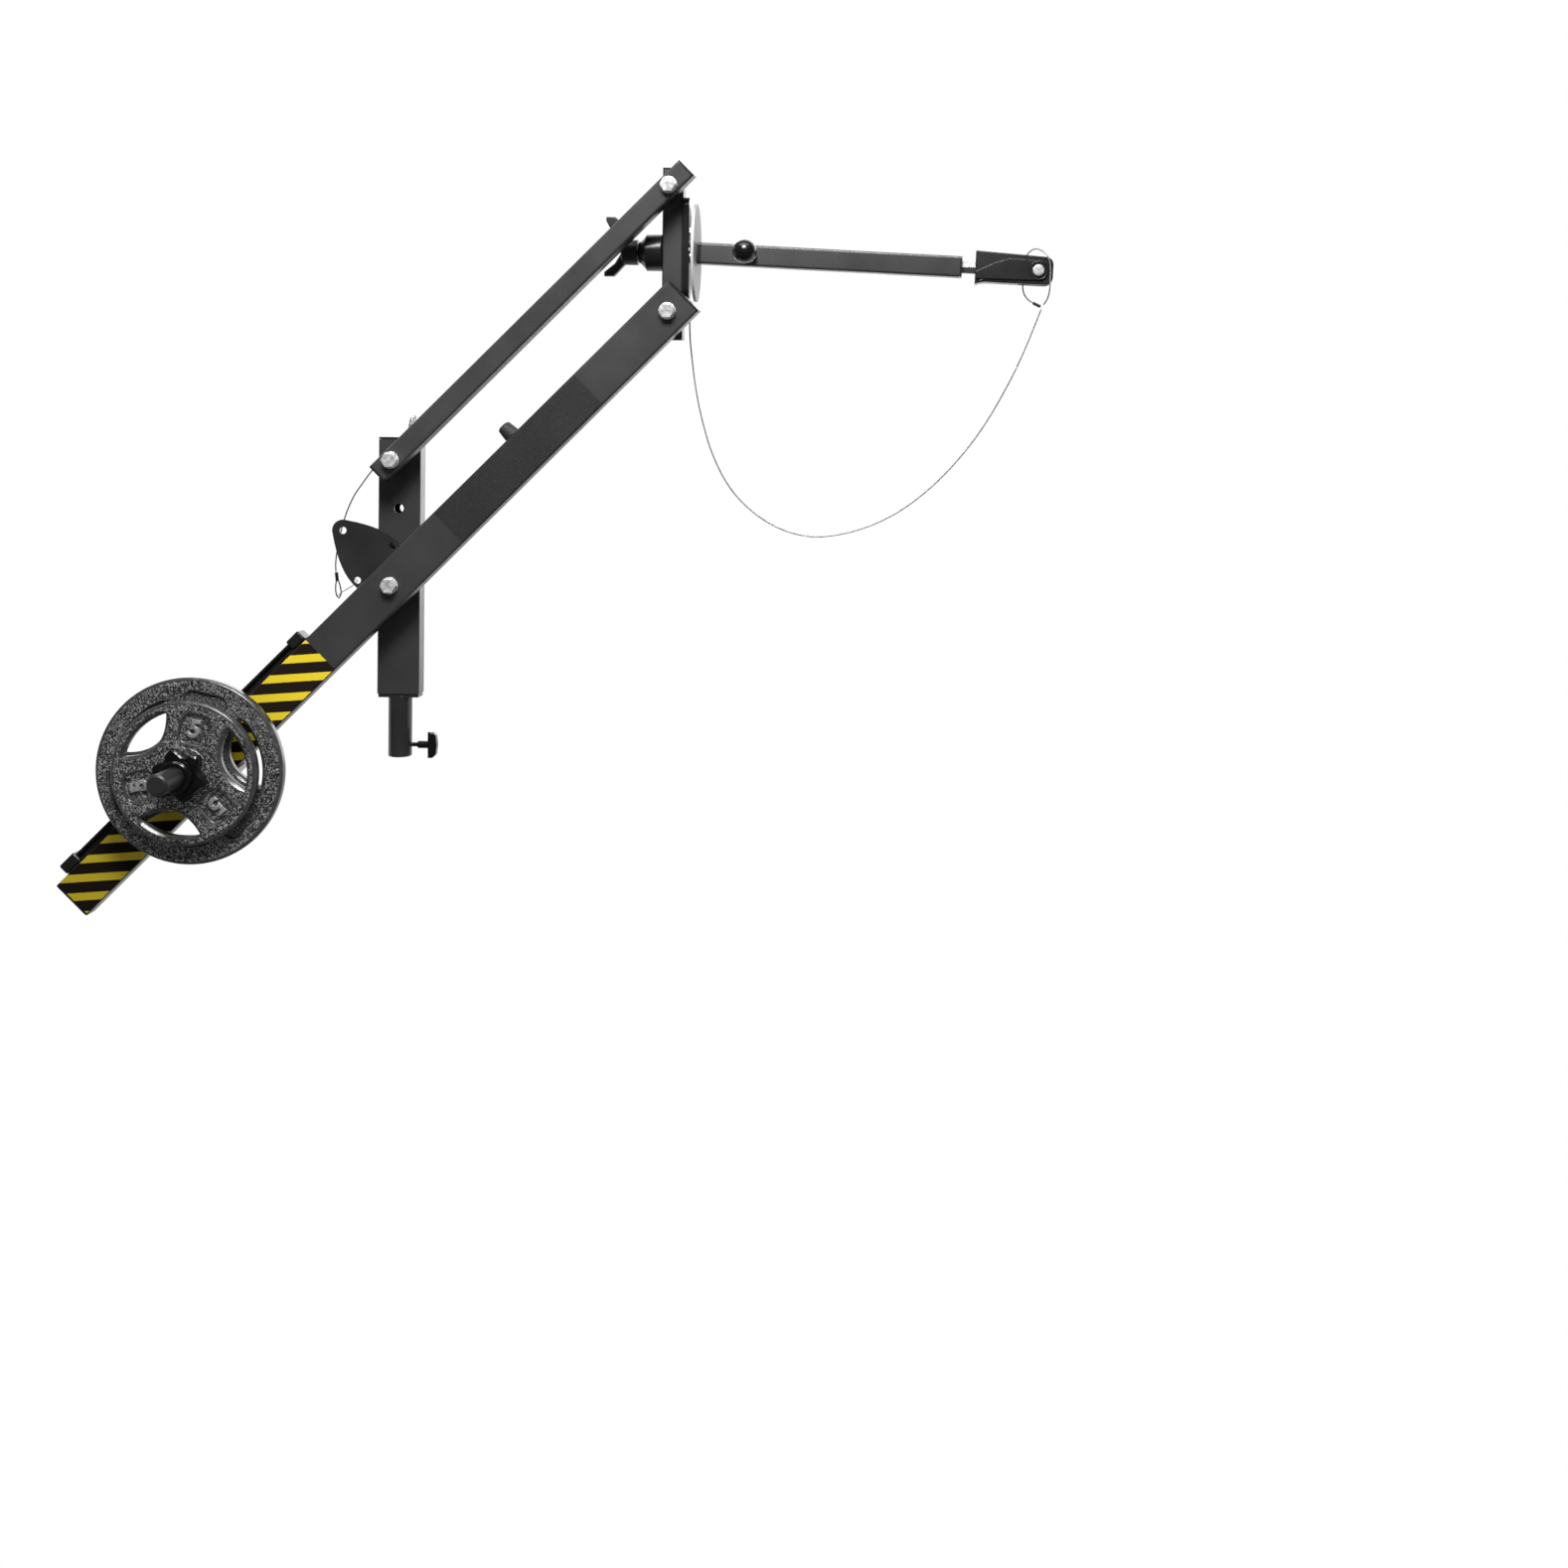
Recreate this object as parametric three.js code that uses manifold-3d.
import * as THREE from "three";
import { mergeVertices } from "three/addons/utils/BufferGeometryUtils.js";
import Module from "manifold-3d";

const wasm = await Module();
wasm.setup();

// Counterweighted boom arm. Lengths are millimetres, Z is up, X runs out along the boom,
// and the front of the arm faces -Y. The origin is the centre of the receiver's bottom rim.

// Clearances
const seatGap = 0.3;
const slipGap = 0.5;
const cutOverrun = 3;
const weldTolerance = 1e-4;

// Mast and receiver
const mastWidth = 50.8;
const mastDepth = 25.4;
const mastWall = 2;
const mastHeadroom = 27;
const tubeCorner = 3;
const receiverLength = 77;
const receiverRadius = 14;
const receiverBore = 8.1;
const receiverBoreDepth = 66;
const receiverRimChamfer = 1.2;
const footPlateThickness = 4;
const footPlateInset = 1;
const footPlugLength = 22;
const knobScrewHeight = 14;

// Parallelogram
const boomAngle = THREE.MathUtils.degToRad(45.3);
const mainPivotHeight = 211.2;
const pivotSpacing = 149.5;
const pivotReach = 465;
const layerGap = 10.4;
const beamHeight = 50.8;
const beamDepth = 25.4;
const beamWall = 2;
const beamRearReach = 536.5;
const beamFrontTail = 27;
const linkSide = 25.4;
const linkWall = 2;
const linkRearTail = 24;
const linkFrontTail = 29.6;

// Plastic end plugs
const capFlange = 2.5;
const capPlugLength = 14;
const capWall = 2;

// Pivot bolts
const boltRadius = 5;
const boltAcrossFlats = 17;
const boltHeadHeight = 6.4;
const boltTail = 3;
const boltChamfer = 0.8;
const washerRadius = 10.4;
const washerThickness = 2;
const nutHeight = 7.5;
const nutCollarRadius = 7.2;
const nutCollarHeight = 2.6;
const bushRadius = 10;

// Lock plate and pin
const plateThickness = 3;
const plateHalfWidth = 37;
const plateSkirt = 19;
const plateShoulder = 38;
const lockHoleRise = 90.5;
const plateApexRadius = 13;
const apexLeanShare = 1.75;
const lockHoleRadius = 4.4;
const mastLockHoleRadius = 5.8;
const plateSideHoleRadius = 4.2;
const plateSideHoleOffset = 30;
const plateSideHoleRise = 35.5;
const lockPinRadius = 4;
const lockPinOffset = 14.5;
const lockPinLength = 62;
const lockPinStandoff = 13.5;
const lockPinFlangeRadius = 6.9;
const lockPinFlangeThickness = 2.4;
const lockPinEyeHeight = 5;
const lockPinEyeThickness = 3;
const lockPinEyeHole = 1.5;
const pullRingRadius = 4.2;
const pullRingWire = 0.8;

// Counterweight rail and carriage
const railStart = 519;
const railEnd = 117;
const railHeight = 10.4;
const railFootWidth = 20;
const railNeckWidth = 9;
const railFlange = 3;
const stopHeight = 14;
const stopWidth = 22;
const lowerStopLength = 24;
const upperStopLength = 20;
const stopBevel = 1.5;
const carriagePlace = 311;
const carriageLength = 56;
const carriageWall = 4;
const carriageClearance = 0.7;
const carriageCorner = 4;
const tapeThickness = 0.3;
const tapeGap = 0.15;
const tapeLength = 417;
const tapeMargin = 1.2;
const barRise = 5;
const barRadius = 12.5;
const barFlangeRadius = 21;
const barFlangeThickness = 3.2;
const barLength = 121;
const barTipChamfer = 2.5;

// Cast plates
const rearPlateRadius = 111;
const rearPlateThickness = 25;
const frontPlateRadius = 87.5;
const frontPlateThickness = 22;
const plateRimWidth = 14;
const plateEdgeRound = 3.5;
const plateWebStep = 2.4;
const plateHubRadius = 31;
const plateHubStep = 1;
const gripWidthShare = 0.32;
const gripHalfAngle = THREE.MathUtils.degToRad(29);
const gripTurn = THREE.MathUtils.degToRad(16);
const padWidth = 27;
const padHeight = 24;
const padCorner = 6;
const padRise = 1.2;

// Lobed nut
const nutLobes = 6;
const lobeRadius = 27.5;
const lobeDepth = 4.2;
const lobedNutThickness = 15;
const lobedNutHubRadius = 19;
const lobedNutHubLength = 10;
const lobedNutBevel = 2.2;

// Front upright and friction head
const uprightSide = 25.4;
const uprightWall = 2;
const uprightTail = 32;
const uprightTop = 25.2;
const spindleRadius = 6;
const spindleDrop = 1.5;
const housingRadius = 22.4;
const housingLength = 19;
const housingConeLength = 10;
const housingNoseRadius = 11.5;
const handleGap = 1;
const handleHubRadius = 15.4;
const handleHubLength = 19.4;
const handleBevel = 2;
const handleLongReach = 42;
const handleLongSweep = 19;
const handleShortReach = 29.3;
const handleShortSweep = 21;
const handleArmWidth = 11;
const handleArmDepth = 13;
const headPlateThickness = 8;
const headPlateWidth = 44;
const headPlateHeight = 122;
const headPlateCorner = 12;
const headPlateLift = 5.2;
const headPlateGap = 4.2;
const discThickness = 3.4;
const discHalfHeight = 59;
const discHalfWidth = 37.5;
const headBoltRise = 22.8;
const headBoltOffset = 14;
const headBoltRadius = 3;
const headBoltAcrossFlats = 12;
const headScrewDrop = 5;
const headScrewOffset = 15;
const headScrewHeadRadius = 3.3;
const headBoltHeadHeight = 2.8;

// Extension
const extensionDroop = THREE.MathUtils.degToRad(2.3);
const extensionDrop = 0.2;
const extensionSide = 25.4;
const extensionWall = 2;
const extensionLength = 315.5;
const socketThickness = 3.8;
const stubLength = 96;
const endPlugFlange = 2;
const endPlugLength = 30;
const spigotAcrossFlats = 14;
const spigotShow = 16;
const spigotSeat = 22;
const ballKnobPlace = 59;
const knobScrewRadius = 4;
const knobCollarRadius = 9;
const knobCollarLength = 8;
const knobCollarPlug = 1.4;
const ballRadius = 14.5;
const ballReach = 53;
const ballNeckRadius = 6.5;

// Tip grip
const tipLength = 94;
const tipHeight = 34;
const tipFlare = 3.2;
const tipFlareLength = 13;
const tipHalfDepth = 15;
const tipEndRound = 9;
const tipBossPlace = 76.2;
const tipBossRadius = 12.5;
const tipCheekRise = 2;
const tipSlotWidth = 12;
const tipSlotDepth = 42;
const tipPinRadius = 4;
const tipButtonRadius = 7.2;
const tipButtonHeight = 3;
const tipBevel = 1.2;

// Rubber bumper
const bumperPlace = 228;
const bumperHeight = 16.5;
const bumperBaseRadius = 10.5;
const bumperTipRadius = 8.5;
const bumperRound = 2;

// Receiver knob
const knobStudRadius = 2.6;
const knobStudShow = 7;
const knobCollarSize = 4.6;
const knobCollarReach = 13.5;
const knobCollarTaper = 1.6;
const wingHeight = 31.7;
const wingReach = 11;
const wingThickness = 11;
const wingBevel = 1.5;
const wingShoulderShare = 0.5;

// Carriage knob
const carriageKnobStud = 3;
const carriageKnobShow = 4;
const carriageKnobRadius = 11;
const carriageKnobHeight = 21;
const carriageKnobFlutes = 8;
const carriageKnobFlute = 0.9;

// Cables
const tetherRadius = 0.8;
const tetherFerruleRadius = 2.1;
const tetherFerruleLength = 11;
const tetherFerruleLean = THREE.MathUtils.degToRad(6);
const hookWireRadius = 0.55;
const safetyRadius = 0.9;
const safetyFerruleRadius = 2;
const safetyFerruleLength = 10.5;
const anchorRingRadius = 5;
const anchorWire = 1.3;
const anchorDrop = 2;
const anchorReach = 7;
const anchorFootRadius = 4.5;
const anchorFootThickness = 1.6;

// Facets
const holeSides = 16;
const roundSides = 28;
const plateSides = 48;
const cornerSteps = 2;
const arcSteps = 7;
const ringSteps = 14;
const cableSides = 8;

// Places that several pieces share
const layerBack = -(mastDepth / 2 + layerGap);
const layerFront = layerBack - beamDepth;
const layerMiddle = (layerBack + layerFront) / 2;
const mastTop = mainPivotHeight + pivotSpacing + mastHeadroom;
const lockPlateFront = layerBack + seatGap;
const lockPlateBack = lockPlateFront + plateThickness;
const frontPivotX = pivotReach * Math.cos(boomAngle);
const frontPivotZ = mainPivotHeight + pivotReach * Math.sin(boomAngle);
const spindleRise = pivotSpacing / 2 - spindleDrop;
const headPlateX = uprightSide / 2 + seatGap;
const discX = headPlateX + headPlateThickness + headPlateGap;
const socketX = discX + discThickness;
const carriageFront = layerFront - tapeGap - tapeThickness - carriageClearance - carriageWall;
const plateStart = carriageFront - seatGap - barFlangeThickness - seatGap;
const frontPlateStart = plateStart - rearPlateThickness - seatGap;
const lobedNutStart = frontPlateStart - frontPlateThickness - seatGap;

// Finishes
const finish = (color, roughness, metalness) =>
  new THREE.MeshStandardMaterial({ color, roughness, metalness, flatShading: true });
const powderCoat = finish(0x2f2f31, 0.55, 0.2);
const blackPlastic = finish(0x161617, 0.5, 0);
const blackRubber = finish(0x101010, 0.85, 0);
const zinc = finish(0xc9c9c6, 0.35, 0.9);
const greyDisc = finish(0xa9a9a9, 0.45, 0.6);
const hammertone = finish(0x4a4a4c, 0.5, 0.35);
const blackSteel = finish(0x222223, 0.4, 0.5);
const tapeYellow = finish(0xd9c41f, 0.45, 0);
const cableSteel = finish(0xb4b4b2, 0.4, 0.8);

// A closed geometry as a solid, with coincident corners joined and its faces turned outwards
function toSolid(geometry) {
  const loose = geometry.index ? geometry.toNonIndexed() : geometry.clone();
  loose.deleteAttribute("normal");
  loose.deleteAttribute("uv");
  const merged = mergeVertices(loose, weldTolerance);
  const corners = merged.index.array;
  const kept = [];
  for (let i = 0; i < corners.length; i += 3) {
    const [a, b, c] = [corners[i], corners[i + 1], corners[i + 2]];
    if (a !== b && b !== c && c !== a) kept.push(a, b, c);
  }
  const vertProperties = Float32Array.from(merged.attributes.position.array);
  const build = (order) =>
    new wasm.Manifold(new wasm.Mesh({ numProp: 3, vertProperties, triVerts: Uint32Array.from(order) }));
  const solid = build(kept);
  if (solid.volume() > 0) return solid;
  return build(kept.reverse());
}

function toGeometry(solid) {
  const { vertProperties, triVerts } = solid.getMesh();
  const geometry = new THREE.BufferGeometry();
  geometry.setAttribute("position", new THREE.BufferAttribute(Float32Array.from(vertProperties), 3));
  geometry.setIndex(new THREE.BufferAttribute(Uint32Array.from(triVerts), 1));
  return geometry;
}

const join = (...parts) => toGeometry(parts.map(toSolid).reduce((whole, part) => whole.add(part)));
const cut = (body, ...tools) =>
  toGeometry(tools.map(toSolid).reduce((left, tool) => left.subtract(tool), toSolid(body)));

// Bars and slabs: an outline carried along X, Y or Z, with an optional bevel on its end edges
const AXIS_X = new THREE.Vector3(1, 0, 0);
const AXIS_Y = new THREE.Vector3(0, 1, 0);
const AXIS_Z = new THREE.Vector3(0, 0, 1);
const outlineInYZ = new THREE.Matrix4().makeBasis(AXIS_Y, AXIS_Z, AXIS_X);
const outlineInXZ = new THREE.Matrix4().makeBasis(AXIS_X, AXIS_Z, AXIS_Y.clone().negate());

function extruded(outline, length, bevel = 0) {
  const geometry = new THREE.ExtrudeGeometry(outline, {
    depth: length - 2 * bevel,
    curveSegments: cornerSteps,
    bevelEnabled: bevel > 0,
    bevelThickness: bevel,
    bevelSize: bevel,
    bevelOffset: -bevel,
    bevelSegments: 1,
  });
  return geometry.translate(0, 0, bevel);
}

const alongX = (outline, from, to, bevel) =>
  extruded(outline, to - from, bevel).applyMatrix4(outlineInYZ).translate(from, 0, 0);
const alongY = (outline, front, back, bevel) =>
  extruded(outline, back - front, bevel).applyMatrix4(outlineInXZ).translate(0, back, 0);
const alongZ = (outline, from, to, bevel) => extruded(outline, to - from, bevel).translate(0, 0, from);

// Turned pieces: a profile of [radius, distance] pairs spun about X, Y or Z
function turned(profile, axis, sides = roundSides) {
  const points = profile.map(([radius, along]) => new THREE.Vector2(radius, along));
  const geometry = new THREE.LatheGeometry(points, sides);
  if (axis === "x") geometry.rotateZ(-Math.PI / 2);
  if (axis === "z") geometry.rotateX(Math.PI / 2);
  return geometry;
}

const rod = (radius, from, to, axis, sides = roundSides) =>
  turned([[0, from], [radius, from], [radius, to], [0, to]], axis, sides);
const ring = (inner, outer, from, to, axis, sides = roundSides) =>
  turned([[inner, from], [outer, from], [outer, to], [inner, to], [inner, from]], axis, sides);

// Outlines
function roundedBox(width, height, radius) {
  const [w, h] = [width / 2, height / 2];
  const shape = new THREE.Shape();
  shape.moveTo(-w + radius, -h);
  shape.lineTo(w - radius, -h);
  shape.absarc(w - radius, -h + radius, radius, -Math.PI / 2, 0);
  shape.lineTo(w, h - radius);
  shape.absarc(w - radius, h - radius, radius, 0, Math.PI / 2);
  shape.lineTo(-w + radius, h);
  shape.absarc(-w + radius, h - radius, radius, Math.PI / 2, Math.PI);
  shape.lineTo(-w, -h + radius);
  shape.absarc(-w + radius, -h + radius, radius, Math.PI, 1.5 * Math.PI);
  return shape;
}

function tubeOutline(width, height, wall) {
  const shape = roundedBox(width, height, tubeCorner);
  shape.holes.push(roundedBox(width - 2 * wall, height - 2 * wall, tubeCorner - wall / 2));
  return shape;
}

// A regular polygon of six sides with one pair of flats facing up and down
function hexagon(acrossFlats) {
  const radius = acrossFlats / Math.sqrt(3);
  const corners = Array.from({ length: 6 }, (unused, i) => {
    const angle = (i * Math.PI) / 3;
    return new THREE.Vector2(radius * Math.cos(angle), radius * Math.sin(angle));
  });
  return new THREE.Shape(corners);
}

// A wire bent along a curve
function wire(curve, radius, steps, sides = cableSides) {
  const section = new THREE.Shape(
    Array.from({ length: sides }, (unused, i) => {
      const angle = (2 * Math.PI * i) / sides;
      return new THREE.Vector2(radius * Math.cos(angle), radius * Math.sin(angle));
    }),
  );
  return new THREE.ExtrudeGeometry(section, { steps, bevelEnabled: false, extrudePath: curve });
}

// A flat closed ring of round wire, as a turned circle
function wireRing(radius, wireRadius, axis) {
  const profile = Array.from({ length: cableSides + 1 }, (unused, i) => {
    const angle = (2 * Math.PI * (i % cableSides)) / cableSides;
    return [radius + wireRadius * Math.cos(angle), wireRadius * Math.sin(angle)];
  });
  return turned(profile, axis, ringSteps);
}

function piece(name, geometry, material, parent) {
  const mesh = new THREE.Mesh(geometry, material);
  mesh.name = name;
  mesh.geometry.computeVertexNormals();
  parent.add(mesh);
  return mesh;
}

// A plug in a tube's end: a flange over the rim and a hollow skirt inside the tube, towards -X
function endCap(width, height, wall) {
  const room = wall + seatGap;
  const skirt = roundedBox(width - 2 * room, height - 2 * room, tubeCorner - wall / 2);
  const hollow = roundedBox(width - 2 * (room + capWall), height - 2 * (room + capWall), tubeCorner - wall);
  skirt.holes.push(hollow);
  const flange = alongX(roundedBox(width, height, tubeCorner), 0, capFlange);
  return join(flange, alongX(skirt, -capPlugLength, capFlange / 2));
}

const assembly = new THREE.Group();
const boom = new THREE.Group();
boom.position.set(0, 0, mainPivotHeight);
boom.rotation.y = -boomAngle;
const link = new THREE.Group();
link.position.set(0, 0, mainPivotHeight + pivotSpacing);
link.rotation.y = -boomAngle;
const front = new THREE.Group();
front.position.set(frontPivotX, 0, frontPivotZ);
const extension = new THREE.Group();
extension.position.set(socketX, 0, spindleRise - extensionDrop);
extension.rotation.y = extensionDroop;
front.add(extension);
assembly.add(boom, link, front);

// Pivot hardware: a hex bolt with its washer, a locking nut behind, and a bush between the layers
function pivotBolt(name, x, z, parent) {
  const washerFront = layerFront - seatGap - washerThickness;
  const headFront = washerFront - boltHeadHeight;
  const tail = mastDepth / 2 + seatGap + washerThickness + nutHeight + nutCollarHeight + boltTail;
  const shank = turned([[0, washerFront], [boltRadius, washerFront], [boltRadius, tail - boltChamfer],
    [boltRadius - boltChamfer, tail], [0, tail]], "y", holeSides);
  const washer = rod(washerRadius, washerFront, layerFront - seatGap, "y", holeSides);
  const head = alongY(hexagon(boltAcrossFlats), headFront, washerFront + seatGap, boltChamfer);
  piece(name, join(washer, shank, head).translate(x, 0, z), zinc, parent);
}

function pivotNut(name, x, z, parent) {
  const face = mastDepth / 2 + seatGap;
  const nutStart = face + washerThickness;
  const nutEnd = nutStart + nutHeight;
  const washer = rod(washerRadius, face, nutStart + seatGap, "y", holeSides);
  const nut = alongY(hexagon(boltAcrossFlats), nutStart, nutEnd, boltChamfer);
  const collar = rod(nutCollarRadius, nutEnd - seatGap, nutEnd + nutCollarHeight, "y", holeSides);
  const hole = rod(boltRadius + seatGap, face - cutOverrun, nutEnd + nutCollarHeight + cutOverrun,
    "y", holeSides);
  piece(name, cut(join(washer, nut, collar), hole).translate(x, 0, z), zinc, parent);
}

function pivotBush(name, x, z, start, parent) {
  const body = ring(boltRadius + seatGap, bushRadius, start, -mastDepth / 2 - seatGap, "y", holeSides);
  piece(name, body.translate(x, 0, z), blackSteel, parent);
}

const crossHole = (radius, x, z) =>
  rod(radius, layerFront - cutOverrun, mastDepth / 2 + cutOverrun, "y", holeSides).translate(x, 0, z);
const pivotHole = (x, z) => crossHole(boltRadius + seatGap, x, z);

// Mast
const linkPivotHeight = mainPivotHeight + pivotSpacing;
piece("mast_tube", cut(
  alongZ(tubeOutline(mastWidth, mastDepth, mastWall), receiverLength, mastTop - capFlange - seatGap),
  pivotHole(0, mainPivotHeight),
  pivotHole(0, linkPivotHeight),
  crossHole(mastLockHoleRadius, 0, mainPivotHeight + lockHoleRise),
), powderCoat, assembly);

const mastCap = endCap(mastDepth, mastWidth, mastWall).rotateY(-Math.PI / 2);
const pinHole = rod(lockPinRadius + seatGap, mastTop - lockPinLength, mastTop + cutOverrun, "z", holeSides);
piece("mast_top_cap", cut(
  mastCap.translate(0, 0, mastTop - capFlange),
  pinHole.translate(lockPinOffset, 0, 0),
), blackPlastic, assembly);

// Receiver: a bored round tube on a foot plate, with a plug that is pinned inside the mast
const footTop = receiverLength - seatGap;
const footShape = roundedBox(mastWidth - 2 * footPlateInset, mastDepth - 2 * footPlateInset, tubeCorner);
const plugRoom = mastWall + seatGap;
const plugShape = roundedBox(mastWidth - 2 * plugRoom, mastDepth - 2 * plugRoom, tubeCorner - mastWall / 2);
piece("spigot_receiver", cut(
  join(
    turned([[0, receiverBoreDepth], [receiverBore, receiverBoreDepth], [receiverBore, receiverRimChamfer],
      [receiverBore + receiverRimChamfer, 0], [receiverRadius - receiverRimChamfer, 0],
      [receiverRadius, receiverRimChamfer], [receiverRadius, footTop - footPlateThickness / 2],
      [0, footTop - footPlateThickness / 2]], "z"),
    alongZ(footShape, footTop - footPlateThickness, footTop),
    alongZ(plugShape, footTop - footPlateThickness / 2, footTop + footPlugLength),
  ),
  rod(knobStudRadius + seatGap, 0, receiverRadius + cutOverrun, "x", holeSides).translate(0, 0, knobScrewHeight),
), blackSteel, assembly);

// Receiver knob: a stud, a tapered collar and a wing with a rounded outer edge
function wingOutline() {
  const half = wingHeight / 2;
  const shoulder = wingReach * wingShoulderShare;
  const shape = new THREE.Shape();
  shape.moveTo(0, -half);
  shape.lineTo(shoulder, -half);
  shape.quadraticCurveTo(wingReach, -half, wingReach, 0);
  shape.quadraticCurveTo(wingReach, half, shoulder, half);
  shape.lineTo(0, half);
  return shape;
}
const collarStart = receiverRadius + knobStudShow;
const wingStart = collarStart + knobCollarReach;
piece("receiver_knob", join(
  rod(knobStudRadius, receiverBore + seatGap, wingStart, "x", holeSides),
  turned([[0, collarStart], [knobCollarSize - knobCollarTaper, collarStart],
    [knobCollarSize, collarStart + knobCollarTaper], [knobCollarSize, wingStart + wingBevel],
    [0, wingStart + wingBevel]], "x", holeSides),
  alongY(wingOutline(), -wingThickness / 2, wingThickness / 2, wingBevel).translate(wingStart, 0, 0),
).translate(0, 0, knobScrewHeight), blackPlastic, assembly);

pivotBolt("main_pivot_bolt", 0, mainPivotHeight, assembly);
pivotNut("main_pivot_nut", 0, mainPivotHeight, assembly);
pivotBush("main_pivot_bush", 0, mainPivotHeight, lockPlateBack + seatGap, assembly);
pivotBolt("rear_link_bolt", 0, linkPivotHeight, assembly);
pivotNut("rear_link_nut", 0, linkPivotHeight, assembly);
pivotBush("rear_link_bush", 0, linkPivotHeight, layerBack + seatGap, assembly);

// Lock pin, parked in the mast's top cap, and its pull ring
const pinFlangeStart = mastTop + lockPinStandoff;
const pinFlangeEnd = pinFlangeStart + lockPinFlangeThickness;
const pinEye = alongY(
  roundedBox(2 * lockPinRadius, lockPinEyeHeight, lockPinEyeHole),
  -lockPinEyeThickness / 2, lockPinEyeThickness / 2,
).translate(0, 0, pinFlangeEnd + lockPinEyeHeight / 2 - seatGap);
const ringRise = pinFlangeEnd + lockPinEyeHeight / 2;
piece("lock_pin", cut(
  join(
    turned([[0, pinFlangeEnd - lockPinLength], [lockPinRadius - boltChamfer, pinFlangeEnd - lockPinLength],
      [lockPinRadius, pinFlangeEnd - lockPinLength + boltChamfer], [lockPinRadius, pinFlangeStart],
      [0, pinFlangeStart]], "z", holeSides),
    rod(lockPinFlangeRadius, pinFlangeStart - seatGap, pinFlangeEnd, "z", holeSides),
    pinEye,
  ),
  rod(lockPinEyeHole, -cutOverrun, cutOverrun, "y", holeSides).translate(0, 0, ringRise),
).translate(lockPinOffset, 0, 0), blackSteel, assembly);
piece("lock_pin_ring", wireRing(pullRingRadius, pullRingWire, "x")
  .translate(lockPinOffset, 0, ringRise + pullRingRadius), cableSteel, assembly);

// Main beam, with its plugs
const beamFrontReach = pivotReach + beamFrontTail;
const beamStart = -beamRearReach + capFlange + seatGap;
const beamEnd = beamFrontReach - capFlange - seatGap;
piece("main_beam", cut(
  alongX(tubeOutline(beamDepth, beamHeight, beamWall), beamStart, beamEnd).translate(0, layerMiddle, 0),
  pivotHole(0, 0),
  pivotHole(pivotReach, 0),
), powderCoat, boom);
const beamCap = () => endCap(beamDepth, beamHeight, beamWall);
piece("beam_front_cap", beamCap().translate(beamEnd + seatGap, layerMiddle, 0), blackPlastic, boom);
piece("beam_rear_cap", beamCap().rotateZ(Math.PI).translate(beamStart - seatGap, layerMiddle, 0),
  blackPlastic, boom);

// Lock plate: a rounded three-cornered sheet behind the beam, with a hole at each corner
const plateFlankShare = { along: 0.97, rise: 0.685 };
function lockPlateOutline() {
  const apexLean = Math.asin((plateHalfWidth - plateApexRadius) / lockHoleRise) * apexLeanShare;
  const [apexX, apexZ] = [plateApexRadius * Math.cos(apexLean), plateApexRadius * Math.sin(apexLean)];
  const flank = [plateHalfWidth * plateFlankShare.along, lockHoleRise * plateFlankShare.rise];
  const shape = new THREE.Shape();
  shape.moveTo(-plateHalfWidth, -plateSkirt);
  shape.lineTo(plateHalfWidth, -plateSkirt);
  shape.lineTo(plateHalfWidth, plateShoulder);
  shape.quadraticCurveTo(...flank, apexX, lockHoleRise + apexZ);
  shape.absarc(0, lockHoleRise, plateApexRadius, apexLean, Math.PI - apexLean);
  shape.quadraticCurveTo(-flank[0], flank[1], -plateHalfWidth, plateShoulder);
  return shape;
}
const plateBlank = new THREE.ExtrudeGeometry(lockPlateOutline(),
  { depth: plateThickness, curveSegments: arcSteps, bevelEnabled: false })
  .applyMatrix4(outlineInXZ).translate(0, lockPlateBack, 0);
piece("lock_plate", cut(
  plateBlank,
  pivotHole(0, 0),
  crossHole(lockHoleRadius, 0, lockHoleRise),
  crossHole(plateSideHoleRadius, plateSideHoleOffset, plateSideHoleRise),
  crossHole(plateSideHoleRadius, -plateSideHoleOffset, plateSideHoleRise),
), powderCoat, boom);

// Rubber bumper on the beam's top edge
const beamTop = beamHeight / 2;
const bumperBase = beamTop + seatGap;
piece("beam_bumper", turned([[0, bumperBase], [bumperBaseRadius, bumperBase],
  [bumperTipRadius, bumperBase + bumperHeight - bumperRound],
  [bumperTipRadius - bumperRound, bumperBase + bumperHeight], [0, bumperBase + bumperHeight]], "z", holeSides)
  .translate(bumperPlace, layerMiddle, 0), blackRubber, boom);

// Counterweight rail: a foot, a neck and a head, between two end stops
function railOutline() {
  const [foot, neck] = [railFootWidth / 2, railNeckWidth / 2];
  const shape = new THREE.Shape();
  shape.moveTo(-foot, 0);
  shape.lineTo(foot, 0);
  shape.lineTo(foot, railFlange);
  shape.lineTo(neck, railFlange);
  shape.lineTo(neck, railHeight - railFlange);
  shape.lineTo(foot, railHeight - railFlange);
  shape.lineTo(foot, railHeight);
  shape.lineTo(-foot, railHeight);
  shape.lineTo(-foot, railHeight - railFlange);
  shape.lineTo(-neck, railHeight - railFlange);
  shape.lineTo(-neck, railFlange);
  shape.lineTo(-foot, railFlange);
  return shape;
}
const lowerStopEnd = -railStart + lowerStopLength;
const upperStopStart = -railEnd - upperStopLength;
piece("weight_rail", alongX(railOutline(), lowerStopEnd + seatGap, upperStopStart - seatGap)
  .translate(0, layerMiddle, beamTop + seatGap), blackSteel, boom);
function railStop(name, start, end) {
  const block = alongX(roundedBox(stopWidth, stopHeight, 2 * stopBevel), start, end, stopBevel);
  piece(name, block.translate(0, layerMiddle, beamTop + seatGap + stopHeight / 2), blackPlastic, boom);
}
railStop("rail_stop_lower", -railStart, lowerStopEnd);
railStop("rail_stop_upper", upperStopStart, -railEnd);

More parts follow.
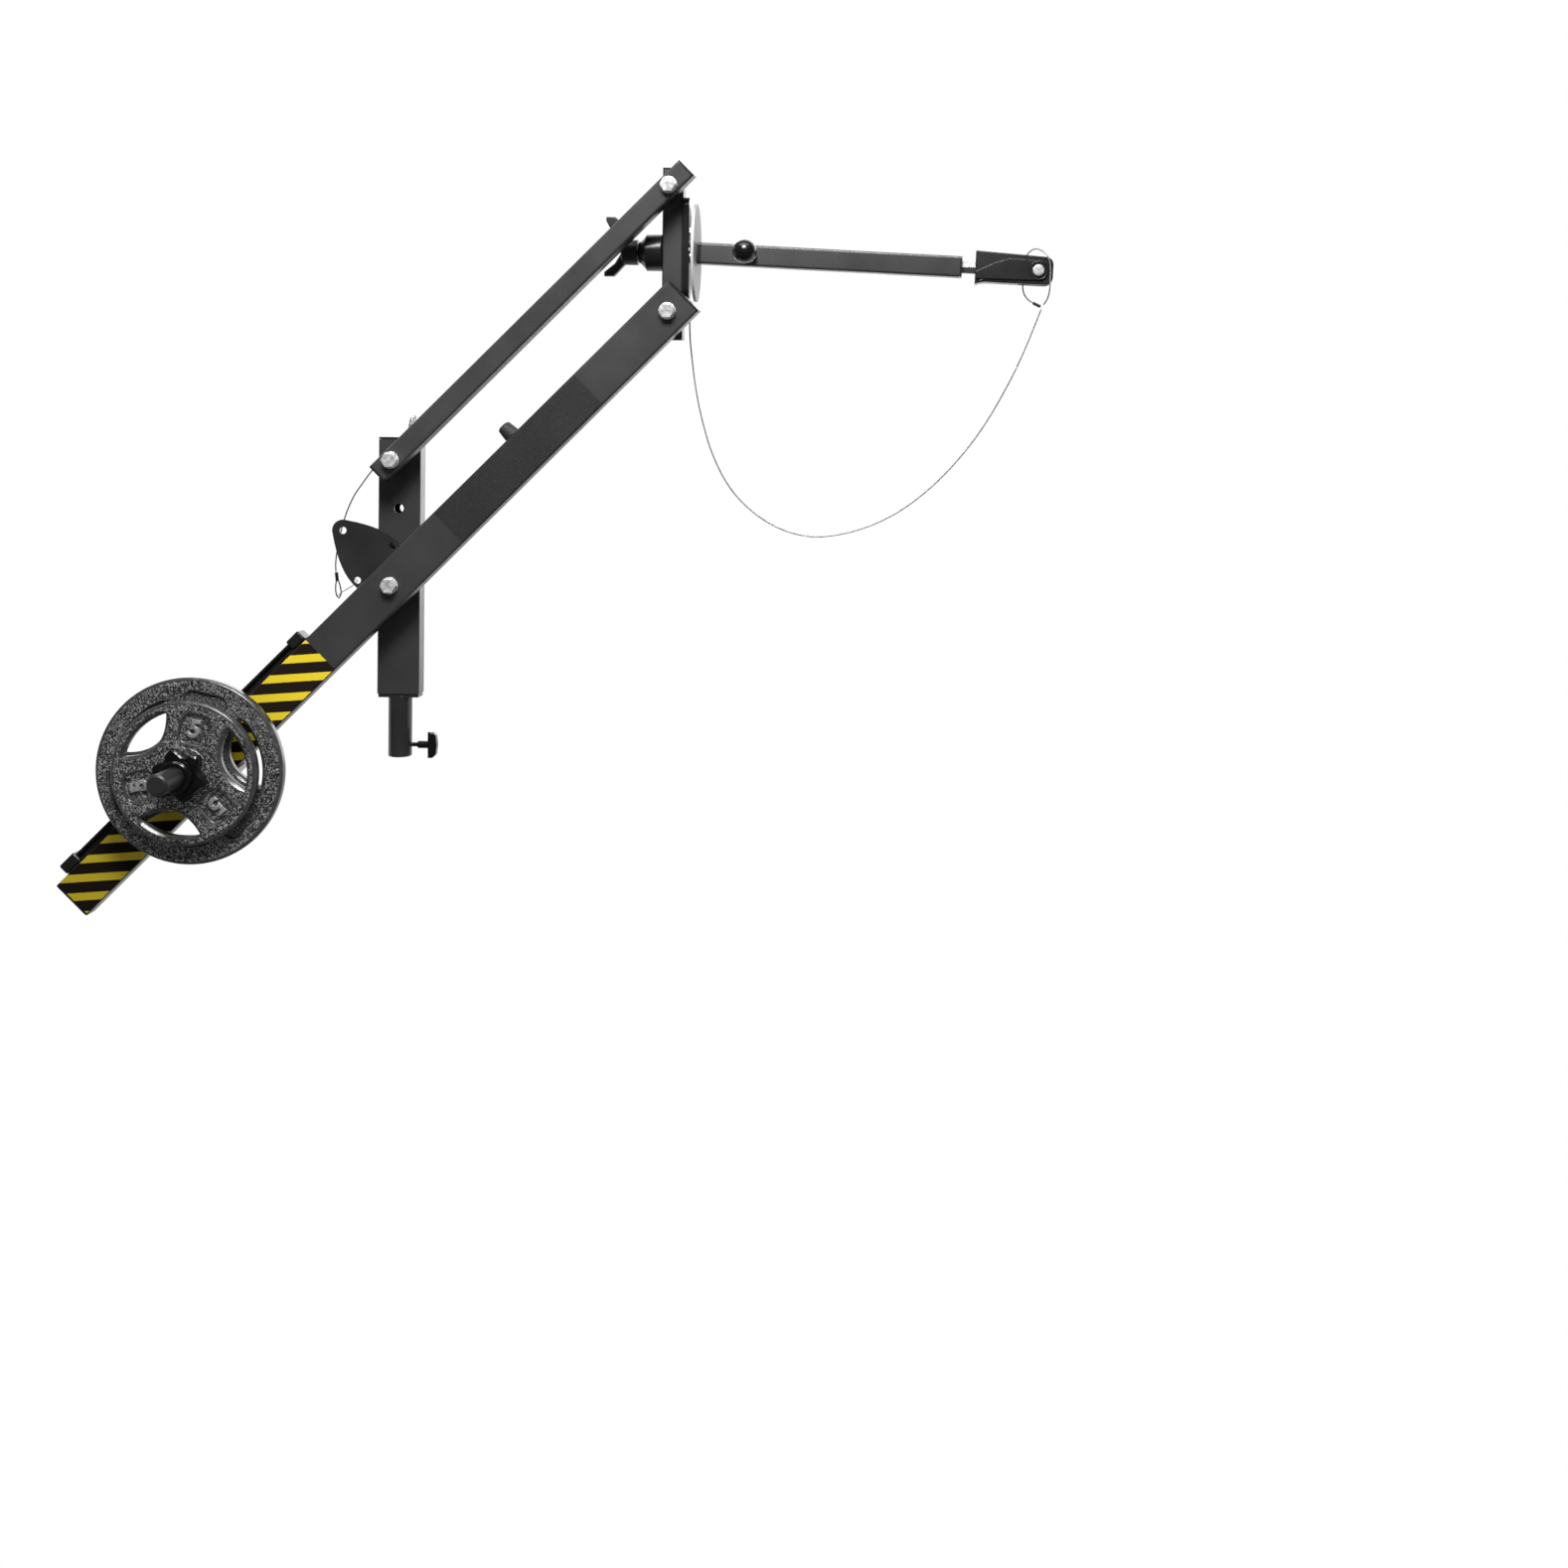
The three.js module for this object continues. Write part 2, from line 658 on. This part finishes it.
// Striped tape along the beam's front face, from its rear end
const tapeBack = layerFront - tapeGap;
const tapeShape = roundedBox(tapeLength, beamHeight - 2 * tapeMargin, tapeMargin);
piece("hazard_tape", alongY(tapeShape, tapeBack - tapeThickness, tapeBack)
  .translate(beamStart + tapeLength / 2, 0, 0), tapeYellow, boom);

// Weight carriage: a sleeve round the beam and its rail, with a collar for the bar
const sleeveFront = carriageFront;
const sleeveBack = layerBack + carriageClearance + carriageWall;
const sleeveTop = beamTop + seatGap + railHeight + carriageClearance + carriageWall;
const sleeveBottom = -beamTop - carriageClearance - carriageWall;
function sleeveOutline(inset, corner) {
  const width = sleeveBack - sleeveFront - 2 * inset;
  const height = sleeveTop - sleeveBottom - 2 * inset;
  return roundedBox(width, height, corner);
}
const sleeveShape = sleeveOutline(0, carriageCorner);
sleeveShape.holes.push(sleeveOutline(carriageWall, carriageClearance));
const carriageHalf = carriageLength / 2;
piece("weight_carriage", cut(
  alongX(sleeveShape, -carriagePlace - carriageHalf, -carriagePlace + carriageHalf)
    .translate(0, (sleeveFront + sleeveBack) / 2, (sleeveTop + sleeveBottom) / 2),
  rod(carriageKnobStud + seatGap, sleeveTop - carriageWall - cutOverrun, sleeveTop + cutOverrun, "z", holeSides)
    .translate(-carriagePlace, layerMiddle, 0),
), powderCoat, boom);

// Weight bar: a flange on the carriage's front cheek and a round peg towards the front
const flangeBack = sleeveFront - seatGap;
const flangeFront = flangeBack - barFlangeThickness;
piece("weight_bar", turned([[0, flangeFront - barLength], [barRadius - barTipChamfer, flangeFront - barLength],
  [barRadius, flangeFront - barLength + barTipChamfer], [barRadius, flangeFront],
  [barFlangeRadius, flangeFront], [barFlangeRadius, flangeBack], [0, flangeBack]], "y")
  .translate(-carriagePlace, 0, barRise), blackSteel, boom);

// Carriage knob: a fluted grip on a stud that presses on the rail
function flutedOutline() {
  const steps = carriageKnobFlutes * cornerSteps * 2;
  const points = Array.from({ length: steps }, (unused, i) => {
    const angle = (2 * Math.PI * i) / steps;
    const radius = carriageKnobRadius - carriageKnobFlute * (1 - Math.cos(carriageKnobFlutes * angle));
    return new THREE.Vector2(radius * Math.cos(angle), radius * Math.sin(angle));
  });
  return new THREE.Shape(points);
}
const railTop = beamTop + seatGap + railHeight;
const gripStart = sleeveTop + carriageKnobShow;
piece("carriage_knob", join(
  rod(carriageKnobStud, railTop + seatGap, gripStart + wingBevel, "z", holeSides),
  alongZ(flutedOutline(), gripStart, gripStart + carriageKnobHeight, wingBevel),
).translate(-carriagePlace, layerMiddle, 0), blackPlastic, boom);

// Cast weight plates: a turned disc with a rim, a thinner web and a hub, three lens-shaped grips
// cut through the web, and three raised pads between the grips
function gripOutline(outer, inner) {
  const [endX, endY] = [outer * Math.cos(gripHalfAngle), outer * Math.sin(gripHalfAngle)];
  const bulge = 2 * inner - endX;
  const shape = new THREE.Shape();
  shape.moveTo(endX, -endY);
  shape.absarc(0, 0, outer, -gripHalfAngle, gripHalfAngle);
  shape.quadraticCurveTo(bulge, 0, endX, -endY);
  return shape;
}

function castPlate(name, radius, thickness, start) {
  const half = thickness / 2;
  const web = half - plateWebStep;
  const hub = half - plateHubStep;
  const rimInside = radius - plateRimWidth;
  const side = [[plateHubRadius, hub], [plateHubRadius + plateWebStep, web],
    [rimInside - plateWebStep, web], [rimInside, half], [radius - plateEdgeRound, half],
    [radius, half - plateEdgeRound]];
  const bore = barRadius + slipGap;
  const profile = [[bore, hub], ...side];
  const closed = [...profile.map(([r, y]) => [r, -y]), ...profile.reverse(), [bore, -hub]];
  const disc = turned(closed, "y", plateSides);
  const gripOuter = rimInside - plateWebStep;
  const gripInner = gripOuter - radius * gripWidthShare;
  const middle = (plateHubRadius + rimInside) / 2;
  const thirds = [0, 1, 2].map((i) => gripTurn - boomAngle + (i * 2 * Math.PI) / 3);
  const grips = thirds.map((angle) =>
    new THREE.ExtrudeGeometry(gripOutline(gripOuter, gripInner),
      { depth: thickness + 2 * cutOverrun, curveSegments: arcSteps, bevelEnabled: false })
      .applyMatrix4(outlineInXZ).translate(0, half + cutOverrun, 0).rotateY(-angle));
  const pads = thirds.map((angle) =>
    alongY(roundedBox(padHeight, padWidth, padCorner), -web - padRise, web + padRise)
      .translate(middle, 0, 0).rotateY(-angle - Math.PI / 3));
  piece(name, cut(join(disc, ...pads), ...grips)
    .translate(-carriagePlace, start - half, barRise), hammertone, boom);
}
castPlate("rear_weight_plate", rearPlateRadius, rearPlateThickness, plateStart);
castPlate("front_weight_plate", frontPlateRadius, frontPlateThickness, frontPlateStart);

// Lobed nut: a six-lobed flange and a round hub in front of it
function lobedOutline() {
  const steps = nutLobes * arcSteps;
  const points = Array.from({ length: steps }, (unused, i) => {
    const angle = (2 * Math.PI * i) / steps;
    const radius = lobeRadius + lobeDepth * Math.cos(nutLobes * angle);
    return new THREE.Vector2(radius * Math.cos(angle), radius * Math.sin(angle));
  });
  return new THREE.Shape(points);
}
const lobesFront = lobedNutStart - lobedNutThickness;
const nutHubFront = lobesFront - lobedNutHubLength;
piece("lobed_nut", cut(
  join(
    alongY(lobedOutline(), lobesFront, lobedNutStart, lobedNutBevel),
    turned([[0, nutHubFront], [lobedNutHubRadius - lobedNutBevel, nutHubFront],
      [lobedNutHubRadius, nutHubFront + lobedNutBevel], [lobedNutHubRadius, lobesFront + lobedNutBevel],
      [0, lobesFront + lobedNutBevel]], "y"),
  ),
  rod(barRadius + seatGap, nutHubFront - cutOverrun, lobedNutStart + cutOverrun, "y"),
).translate(-carriagePlace, 0, barRise), blackPlastic, boom);

// Upper link, with its plugs
const linkStart = -linkRearTail + capFlange + seatGap;
const linkEnd = pivotReach + linkFrontTail - capFlange - seatGap;
piece("upper_link", cut(
  alongX(tubeOutline(beamDepth, linkSide, linkWall), linkStart, linkEnd).translate(0, layerMiddle, 0),
  pivotHole(0, 0),
  pivotHole(pivotReach, 0),
), powderCoat, link);
const linkCap = () => endCap(beamDepth, linkSide, linkWall);
piece("link_front_cap", linkCap().translate(linkEnd + seatGap, layerMiddle, 0), blackPlastic, link);
piece("link_rear_cap", linkCap().rotateZ(Math.PI).translate(linkStart - seatGap, layerMiddle, 0),
  blackPlastic, link);

// Front upright, which the beam and the link keep level
const uprightRoof = pivotSpacing + uprightTop;
piece("front_upright", cut(
  alongZ(tubeOutline(uprightSide, uprightSide, uprightWall), -uprightTail, uprightRoof - capFlange - seatGap),
  pivotHole(0, 0),
  pivotHole(0, pivotSpacing),
  rod(spindleRadius + seatGap, -uprightSide, uprightSide, "x", holeSides).translate(0, 0, spindleRise),
), powderCoat, front);
piece("upright_top_cap", endCap(uprightSide, uprightSide, uprightWall).rotateY(-Math.PI / 2)
  .translate(0, 0, uprightRoof - capFlange), blackPlastic, front);
pivotBolt("front_beam_bolt", 0, 0, front);
pivotNut("front_beam_nut", 0, 0, front);
pivotBush("front_beam_bush", 0, 0, layerBack + seatGap, front);
pivotBolt("front_link_bolt", 0, pivotSpacing, front);
pivotNut("front_link_nut", 0, pivotSpacing, front);
pivotBush("front_link_bush", 0, pivotSpacing, layerBack + seatGap, front);

// Spindle housing: a turned boss with a conical nose on the upright's rear face
const housingFace = -uprightSide / 2 - seatGap;
const coneStart = housingFace - housingLength;
const noseEnd = coneStart - housingConeLength;
const spindleBore = spindleRadius + seatGap;
piece("spindle_housing", turned([[spindleBore, noseEnd], [housingNoseRadius, noseEnd],
  [housingRadius, coneStart], [housingRadius, housingFace], [spindleBore, housingFace],
  [spindleBore, noseEnd]], "x").translate(0, 0, spindleRise), blackSteel, front);

// Clamp handle: a hub on the spindle and two arms swept back from it
const hubFront = noseEnd - handleGap;
const hubBack = hubFront - handleHubLength;
const armRootShare = { inner: 0.3, outer: 0.75, bow: 0.45 };
function armOutline(reach, sweep) {
  const tipX = hubBack - sweep + handleArmWidth;
  const shape = new THREE.Shape();
  shape.moveTo(hubFront - handleHubLength * armRootShare.inner, 0);
  shape.quadraticCurveTo(hubFront - handleHubLength * armRootShare.outer, handleHubRadius,
    tipX + handleArmWidth * armRootShare.bow, reach - handleArmWidth * armRootShare.bow);
  shape.lineTo(tipX, reach);
  shape.lineTo(tipX - handleArmWidth, reach);
  shape.lineTo(tipX - handleArmWidth, reach - handleArmWidth * armRootShare.bow);
  shape.quadraticCurveTo(hubBack - handleHubLength * armRootShare.inner, handleHubRadius, hubBack, 0);
  return shape;
}
const handleArm = (reach, sweep) =>
  alongY(armOutline(reach, sweep), -handleArmDepth / 2, handleArmDepth / 2, handleBevel);
piece("clamp_handle", cut(
  join(
    turned([[0, hubBack], [handleHubRadius - handleBevel, hubBack], [handleHubRadius, hubBack + handleBevel],
      [handleHubRadius, hubFront], [0, hubFront]], "x"),
    handleArm(handleLongReach, handleLongSweep),
    handleArm(handleShortReach, handleShortSweep).rotateX(Math.PI),
  ),
  rod(spindleBore, hubBack + handleHubLength / 3, hubFront + cutOverrun, "x", holeSides),
).translate(0, 0, spindleRise), blackPlastic, front);

// Head plate on the upright's outer face, with its two screws
const headPlateEnd = headPlateX + headPlateThickness;
const headFace = headPlateEnd + seatGap;
const plateRise = spindleRise + headPlateLift;
const screwHole = (y, z) =>
  rod(headBoltRadius + seatGap, headPlateX - cutOverrun, headFace + cutOverrun, "x", holeSides).translate(0, y, z);
const headScrewPlaces = [[-headBoltOffset, spindleRise + headBoltRise],
  [-headScrewOffset, spindleRise - headScrewDrop]];
piece("head_plate", cut(
  alongX(roundedBox(headPlateWidth, headPlateHeight, headPlateCorner), headPlateX, headPlateEnd)
    .translate(0, 0, plateRise),
  rod(spindleBore, headPlateX - cutOverrun, headPlateEnd + cutOverrun, "x", holeSides)
    .translate(0, 0, spindleRise),
  ...headScrewPlaces.map(([y, z]) => screwHole(y, z)),
), blackSteel, front);
const screwShank = () => rod(headBoltRadius, headPlateX, headFace + seatGap, "x", holeSides);
const hexHead = alongX(hexagon(headBoltAcrossFlats), headFace, headFace + headBoltHeadHeight);
const roundHead = rod(headScrewHeadRadius + seatGap, headFace, headFace + headBoltHeadHeight, "x", holeSides);
[["head_bolt", hexHead], ["head_screw", roundHead]].forEach(([name, head], i) => {
  const [y, z] = headScrewPlaces[i];
  piece(name, join(screwShank(), head).translate(0, y, z), zinc, front);
});

// Cable anchor: an eye on the upright's outer face
const anchorFace = uprightSide / 2 + seatGap;
piece("cable_anchor", join(
  rod(anchorFootRadius, anchorFace, anchorFace + anchorFootThickness, "x", holeSides),
  rod(anchorWire, anchorFace, anchorFace + anchorReach - anchorRingRadius + anchorWire, "x", holeSides),
  wireRing(anchorRingRadius, anchorWire, "y").translate(anchorFace + anchorReach, 0, 0),
).translate(0, 0, -anchorDrop), blackSteel, front);

// Friction disc and the spindle that draws it against the head plate
function ovalOutline() {
  const shape = new THREE.Shape();
  shape.absellipse(0, 0, discHalfWidth, discHalfHeight, 0, 2 * Math.PI);
  return shape;
}
const ovalBlank = new THREE.ExtrudeGeometry(ovalOutline(),
  { depth: discThickness, curveSegments: plateSides / 2, bevelEnabled: false }).applyMatrix4(outlineInYZ);
piece("friction_disc", cut(
  ovalBlank.translate(discX, 0, spindleRise),
  rod(spindleBore, discX - cutOverrun, discX + discThickness + cutOverrun, "x", holeSides)
    .translate(0, 0, spindleRise),
), greyDisc, front);
const spindleCollar = 2 * spindleRadius;
piece("clamp_spindle", join(
  rod(spindleRadius, hubBack + handleHubLength / 3 + seatGap, socketX, "x", holeSides),
  rod(spindleCollar, headPlateEnd + seatGap, discX - seatGap, "x", holeSides),
).translate(0, 0, spindleRise), blackSteel, front);

// Extension: a root socket with a square stub, and the tube that slides on the stub
const stubSide = extensionSide - 2 * extensionWall - 2 * slipGap;
const socketStart = seatGap + extensionSide * Math.sin(extensionDroop);
const tubeStart = socketStart + socketThickness + seatGap;
const tubeEnd = tubeStart + extensionLength;
piece("head_socket", join(
  alongX(roundedBox(extensionSide, extensionSide, tubeCorner), socketStart, socketStart + socketThickness),
  alongX(roundedBox(stubSide, stubSide, tubeCorner - extensionWall / 2), socketStart + seatGap,
    socketStart + stubLength),
), blackSteel, extension);
const knobPlace = tubeStart + ballKnobPlace;
const endPlugFace = tubeEnd - endPlugFlange - seatGap;
piece("extension_tube", cut(
  alongX(tubeOutline(extensionSide, extensionSide, extensionWall), tubeStart, endPlugFace),
  rod(knobScrewRadius + seatGap, -extensionSide, 0, "y", holeSides).translate(knobPlace, 0, 0),
), powderCoat, extension);
const endPlugRoom = extensionSide - 2 * (extensionWall + seatGap);
piece("extension_plug", cut(
  join(
    alongX(roundedBox(extensionSide, extensionSide, tubeCorner), endPlugFace + seatGap, tubeEnd),
    alongX(roundedBox(endPlugRoom, endPlugRoom, tubeCorner - extensionWall / 2),
      tubeEnd - endPlugLength, endPlugFace + 2 * seatGap),
  ),
  alongX(hexagon(spigotAcrossFlats + 2 * seatGap), tubeEnd - endPlugLength - cutOverrun,
    tubeEnd + cutOverrun),
), blackPlastic, extension);
const tipStart = tubeEnd + spigotShow;
piece("hex_spigot", alongX(hexagon(spigotAcrossFlats), tubeEnd - endPlugLength, tipStart + spigotSeat - seatGap),
  zinc, extension);

// Clamp screw of the extension: a collar on the tube and a ball knob on a screw
const tubeFace = -extensionSide / 2;
const collarBack = tubeFace - seatGap;
piece("knob_collar", ring(knobScrewRadius + seatGap, knobCollarRadius, collarBack - knobCollarLength,
  collarBack, "y", holeSides).translate(knobPlace, 0, 0), zinc, extension);
const ballCentre = tubeFace - ballReach;
const ballSteps = arcSteps;
const ballArc = Array.from({ length: ballSteps + 1 }, (unused, i) => {
  const start = -Math.PI / 2;
  const end = Math.acos(ballNeckRadius / ballRadius);
  const angle = start + ((end - start) * i) / ballSteps;
  return [i === 0 ? 0 : ballRadius * Math.cos(angle), ballCentre + ballRadius * Math.sin(angle)];
});
const neckEnd = collarBack - knobCollarLength - knobCollarPlug;
piece("ball_knob", turned([...ballArc, [ballNeckRadius, neckEnd], [knobScrewRadius, neckEnd],
  [knobScrewRadius, -stubSide / 2 - seatGap], [0, -stubSide / 2 - seatGap]], "y", holeSides)
  .translate(knobPlace, 0, 0), blackPlastic, extension);

// Tip grip: a moulded body with a flared root, two cheeks and a raised lobe round the cross pin
function tipOutline() {
  const half = tipHeight / 2;
  const end = tipStart + tipLength;
  const shape = new THREE.Shape();
  shape.moveTo(tipStart, -half - tipFlare);
  shape.quadraticCurveTo(tipStart + tipFlareLength / 2, -half, tipStart + tipFlareLength, -half);
  shape.lineTo(end - tipEndRound, -half);
  shape.absarc(end - tipEndRound, -half + tipEndRound, tipEndRound, -Math.PI / 2, 0);
  shape.lineTo(end, half - tipEndRound);
  shape.absarc(end - tipEndRound, half - tipEndRound, tipEndRound, 0, Math.PI / 2);
  shape.lineTo(tipStart, half + tipFlare);
  return shape;
}
const lobeShare = { low: 0.84, start: 0.28, crest: 0.44, top: 0.78 };
function tipLobeOutline() {
  const half = tipHeight / 2;
  const boss = tipStart + tipBossPlace;
  const shape = new THREE.Shape();
  shape.moveTo(tipStart, -half * lobeShare.low);
  shape.lineTo(boss, -tipBossRadius);
  shape.absarc(boss, 0, tipBossRadius, -Math.PI / 2, Math.PI / 2);
  shape.lineTo(tipStart + tipLength * lobeShare.crest, half * lobeShare.top);
  shape.quadraticCurveTo(tipStart + tipLength * lobeShare.start, half * lobeShare.top / 2 + tipFlare,
    tipStart, -half * lobeShare.start);
  return shape;
}
const cheekFront = tipHalfDepth + tipCheekRise;
const bossPlace = tipStart + tipBossPlace;
const slotStart = tipStart + tipLength - tipSlotDepth;
const slotBlock = roundedBox(tipSlotDepth + cutOverrun, tipHeight + 2 * cutOverrun, tipBevel);
piece("tip_head", cut(
  join(
    alongY(tipOutline(), -tipHalfDepth, tipHalfDepth, tipBevel),
    alongY(tipLobeOutline(), -cheekFront, cheekFront, tipBevel),
  ),
  alongX(hexagon(spigotAcrossFlats + 2 * seatGap), tipStart - cutOverrun, tipStart + spigotSeat),
  alongY(slotBlock, -tipSlotWidth / 2, tipSlotWidth / 2)
    .translate(slotStart + (tipSlotDepth + cutOverrun) / 2, 0, 0),
  rod(tipPinRadius + seatGap, -cheekFront - cutOverrun, cheekFront + cutOverrun, "y", holeSides)
    .translate(bossPlace, 0, 0),
), blackPlastic, extension);
const buttonFront = cheekFront + seatGap;
const buttonEnd = buttonFront + tipButtonHeight;
const pinProfile = [[0, -buttonEnd], [tipButtonRadius - tipBevel, -buttonEnd],
  [tipButtonRadius, -buttonEnd + tipBevel], [tipButtonRadius, -buttonFront], [tipPinRadius, -buttonFront],
  [tipPinRadius, buttonFront], [tipButtonRadius, buttonFront], [tipButtonRadius, buttonEnd - tipBevel],
  [tipButtonRadius - tipBevel, buttonEnd], [0, buttonEnd]];
piece("tip_pin", turned(pinProfile, "y", holeSides).translate(bossPlace, 0, 0), zinc, extension);

// Cables, as hand-chosen routes in the assembly's own frame
const routeOf = (points) => new THREE.CatmullRomCurve3(points.map((point) => new THREE.Vector3(...point)));

const safetyRoute = [
  [347.1, 0, 533.1], [347.3, 0, 523], [348, 0, 509], [349.8, 0, 492.3], [354.5, 0, 456.3],
  [363.6, 0, 412.5], [378.6, 0, 366.6], [400.6, 0, 327.9], [430, 0, 299.3], [462.2, 0, 281.2],
  [496.3, 0, 273.3], [530.2, 0, 276], [565.1, 0, 285.9], [599.9, 0, 302.8], [632.6, 0, 326.7],
  [661.3, 0, 354.1], [686.9, 0, 384.4], [708.6, -1, 415.7], [728.1, -2, 449.9], [744.7, -3, 483.1],
  [757.5, -4, 513], [767.3, -4.4, 538], [773, -4.4, 553.1],
];
piece("safety_cable", wire(routeOf(safetyRoute), safetyRadius, 56), cableSteel, assembly);

// Cable loop round the tip grip and its crimp, measured from the cross pin
const loopRoute = [
  [8.9, -4, -39.9], [12.8, -10.5, -32.5], [14.4, -16.4, -23.5], [14.6, -16.9, -12], [14.3, -16.9, 3],
  [12.4, -17.3, 12.5], [8, -15.9, 20], [-3.3, -2, 27.1], [-12.1, 12.5, 23.2], [-17.1, 19.6, 11.9],
  [-17.5, 19.6, -12.1], [-15.3, 16, -26], [-9.4, 8, -34.7], [-4.2, 3, -38.1],
];
piece("safety_cable_loop", wire(routeOf(loopRoute), safetyRadius, 30).translate(bossPlace, 0, 0),
  cableSteel, extension);
const ferruleRun = [[-3.4, 2.4, -38.5], [5, -3.2, -42.5]].map((point) => new THREE.Vector3(...point));
const ferruleAxis = ferruleRun[1].clone().sub(ferruleRun[0]).normalize();
const ferrule = rod(safetyFerruleRadius, 0, safetyFerruleLength, "z", cableSides)
  .applyQuaternion(new THREE.Quaternion().setFromUnitVectors(AXIS_Z, ferruleAxis))
  .translate(...ferruleRun[0]).translate(bossPlace, 0, 0);
piece("safety_cable_ferrule", ferrule, blackSteel, extension);

// Tether from the lock pin's pull ring to the lock plate, measured from the main pivot
const tether = new THREE.Group();
tether.position.set(0, 0, mainPivotHeight);
assembly.add(tether);
const tetherRoute = [
  [12.5, -7.2, 199.8], [12.9, -11.5, 197.3], [12.6, -15.5, 191.3], [11, -18, 182.8], [5.5, -18, 174.3],
  [-3, -18, 165.8], [-13.5, -18, 155.8], [-24, -18, 144.3], [-33.6, -18, 132.8], [-43.2, -17.7, 119.5],
  [-52.4, -17.3, 105.8], [-60.2, -16.7, 89.3], [-66.5, -16.2, 70.3], [-71, -15.8, 51.3],
  [-74, -15.5, 33.8], [-75, -15.5, 21.8], [-74.6, -15.5, 13.1],
];
piece("tether_cable", wire(routeOf(tetherRoute), tetherRadius, 40), cableSteel, tether);

const eyeLoop = [
  [-73.5, -15.5, 4.9], [-74.8, -15.5, -3.1], [-74.2, -15.5, -13.1], [-71.4, -15.5, -19.1],
  [-68.4, -15.5, -14], [-69.4, -15.5, -4], [-72.5, -15.5, 4.9],
];
const tetherFerrulePlace = [-72.9, -15.5, 1.7];
const tetherFerrule = rod(tetherFerruleRadius, 0, tetherFerruleLength, "z", cableSides)
  .rotateY(-tetherFerruleLean).translate(...tetherFerrulePlace);
piece("tether_eye", join(tetherFerrule, wire(routeOf(eyeLoop), tetherRadius, 14)), blackSteel, tether);

const hookRoute = [
  [-72.4, -17.3, -15.1], [-71, -15.6, -15.9], [-68.8, -17.6, -13], [-60.9, -18.3, -7.9],
  [-51, -18.6, -1.3], [-47.2, -19.4, 2.6], [-46.3, -21.3, 3.6], [-46.6, -24, 4], [-49.1, -24.6, 5.4],
];
piece("tether_hook", wire(routeOf(hookRoute), hookWireRadius, 18), cableSteel, tether);

export default assembly;
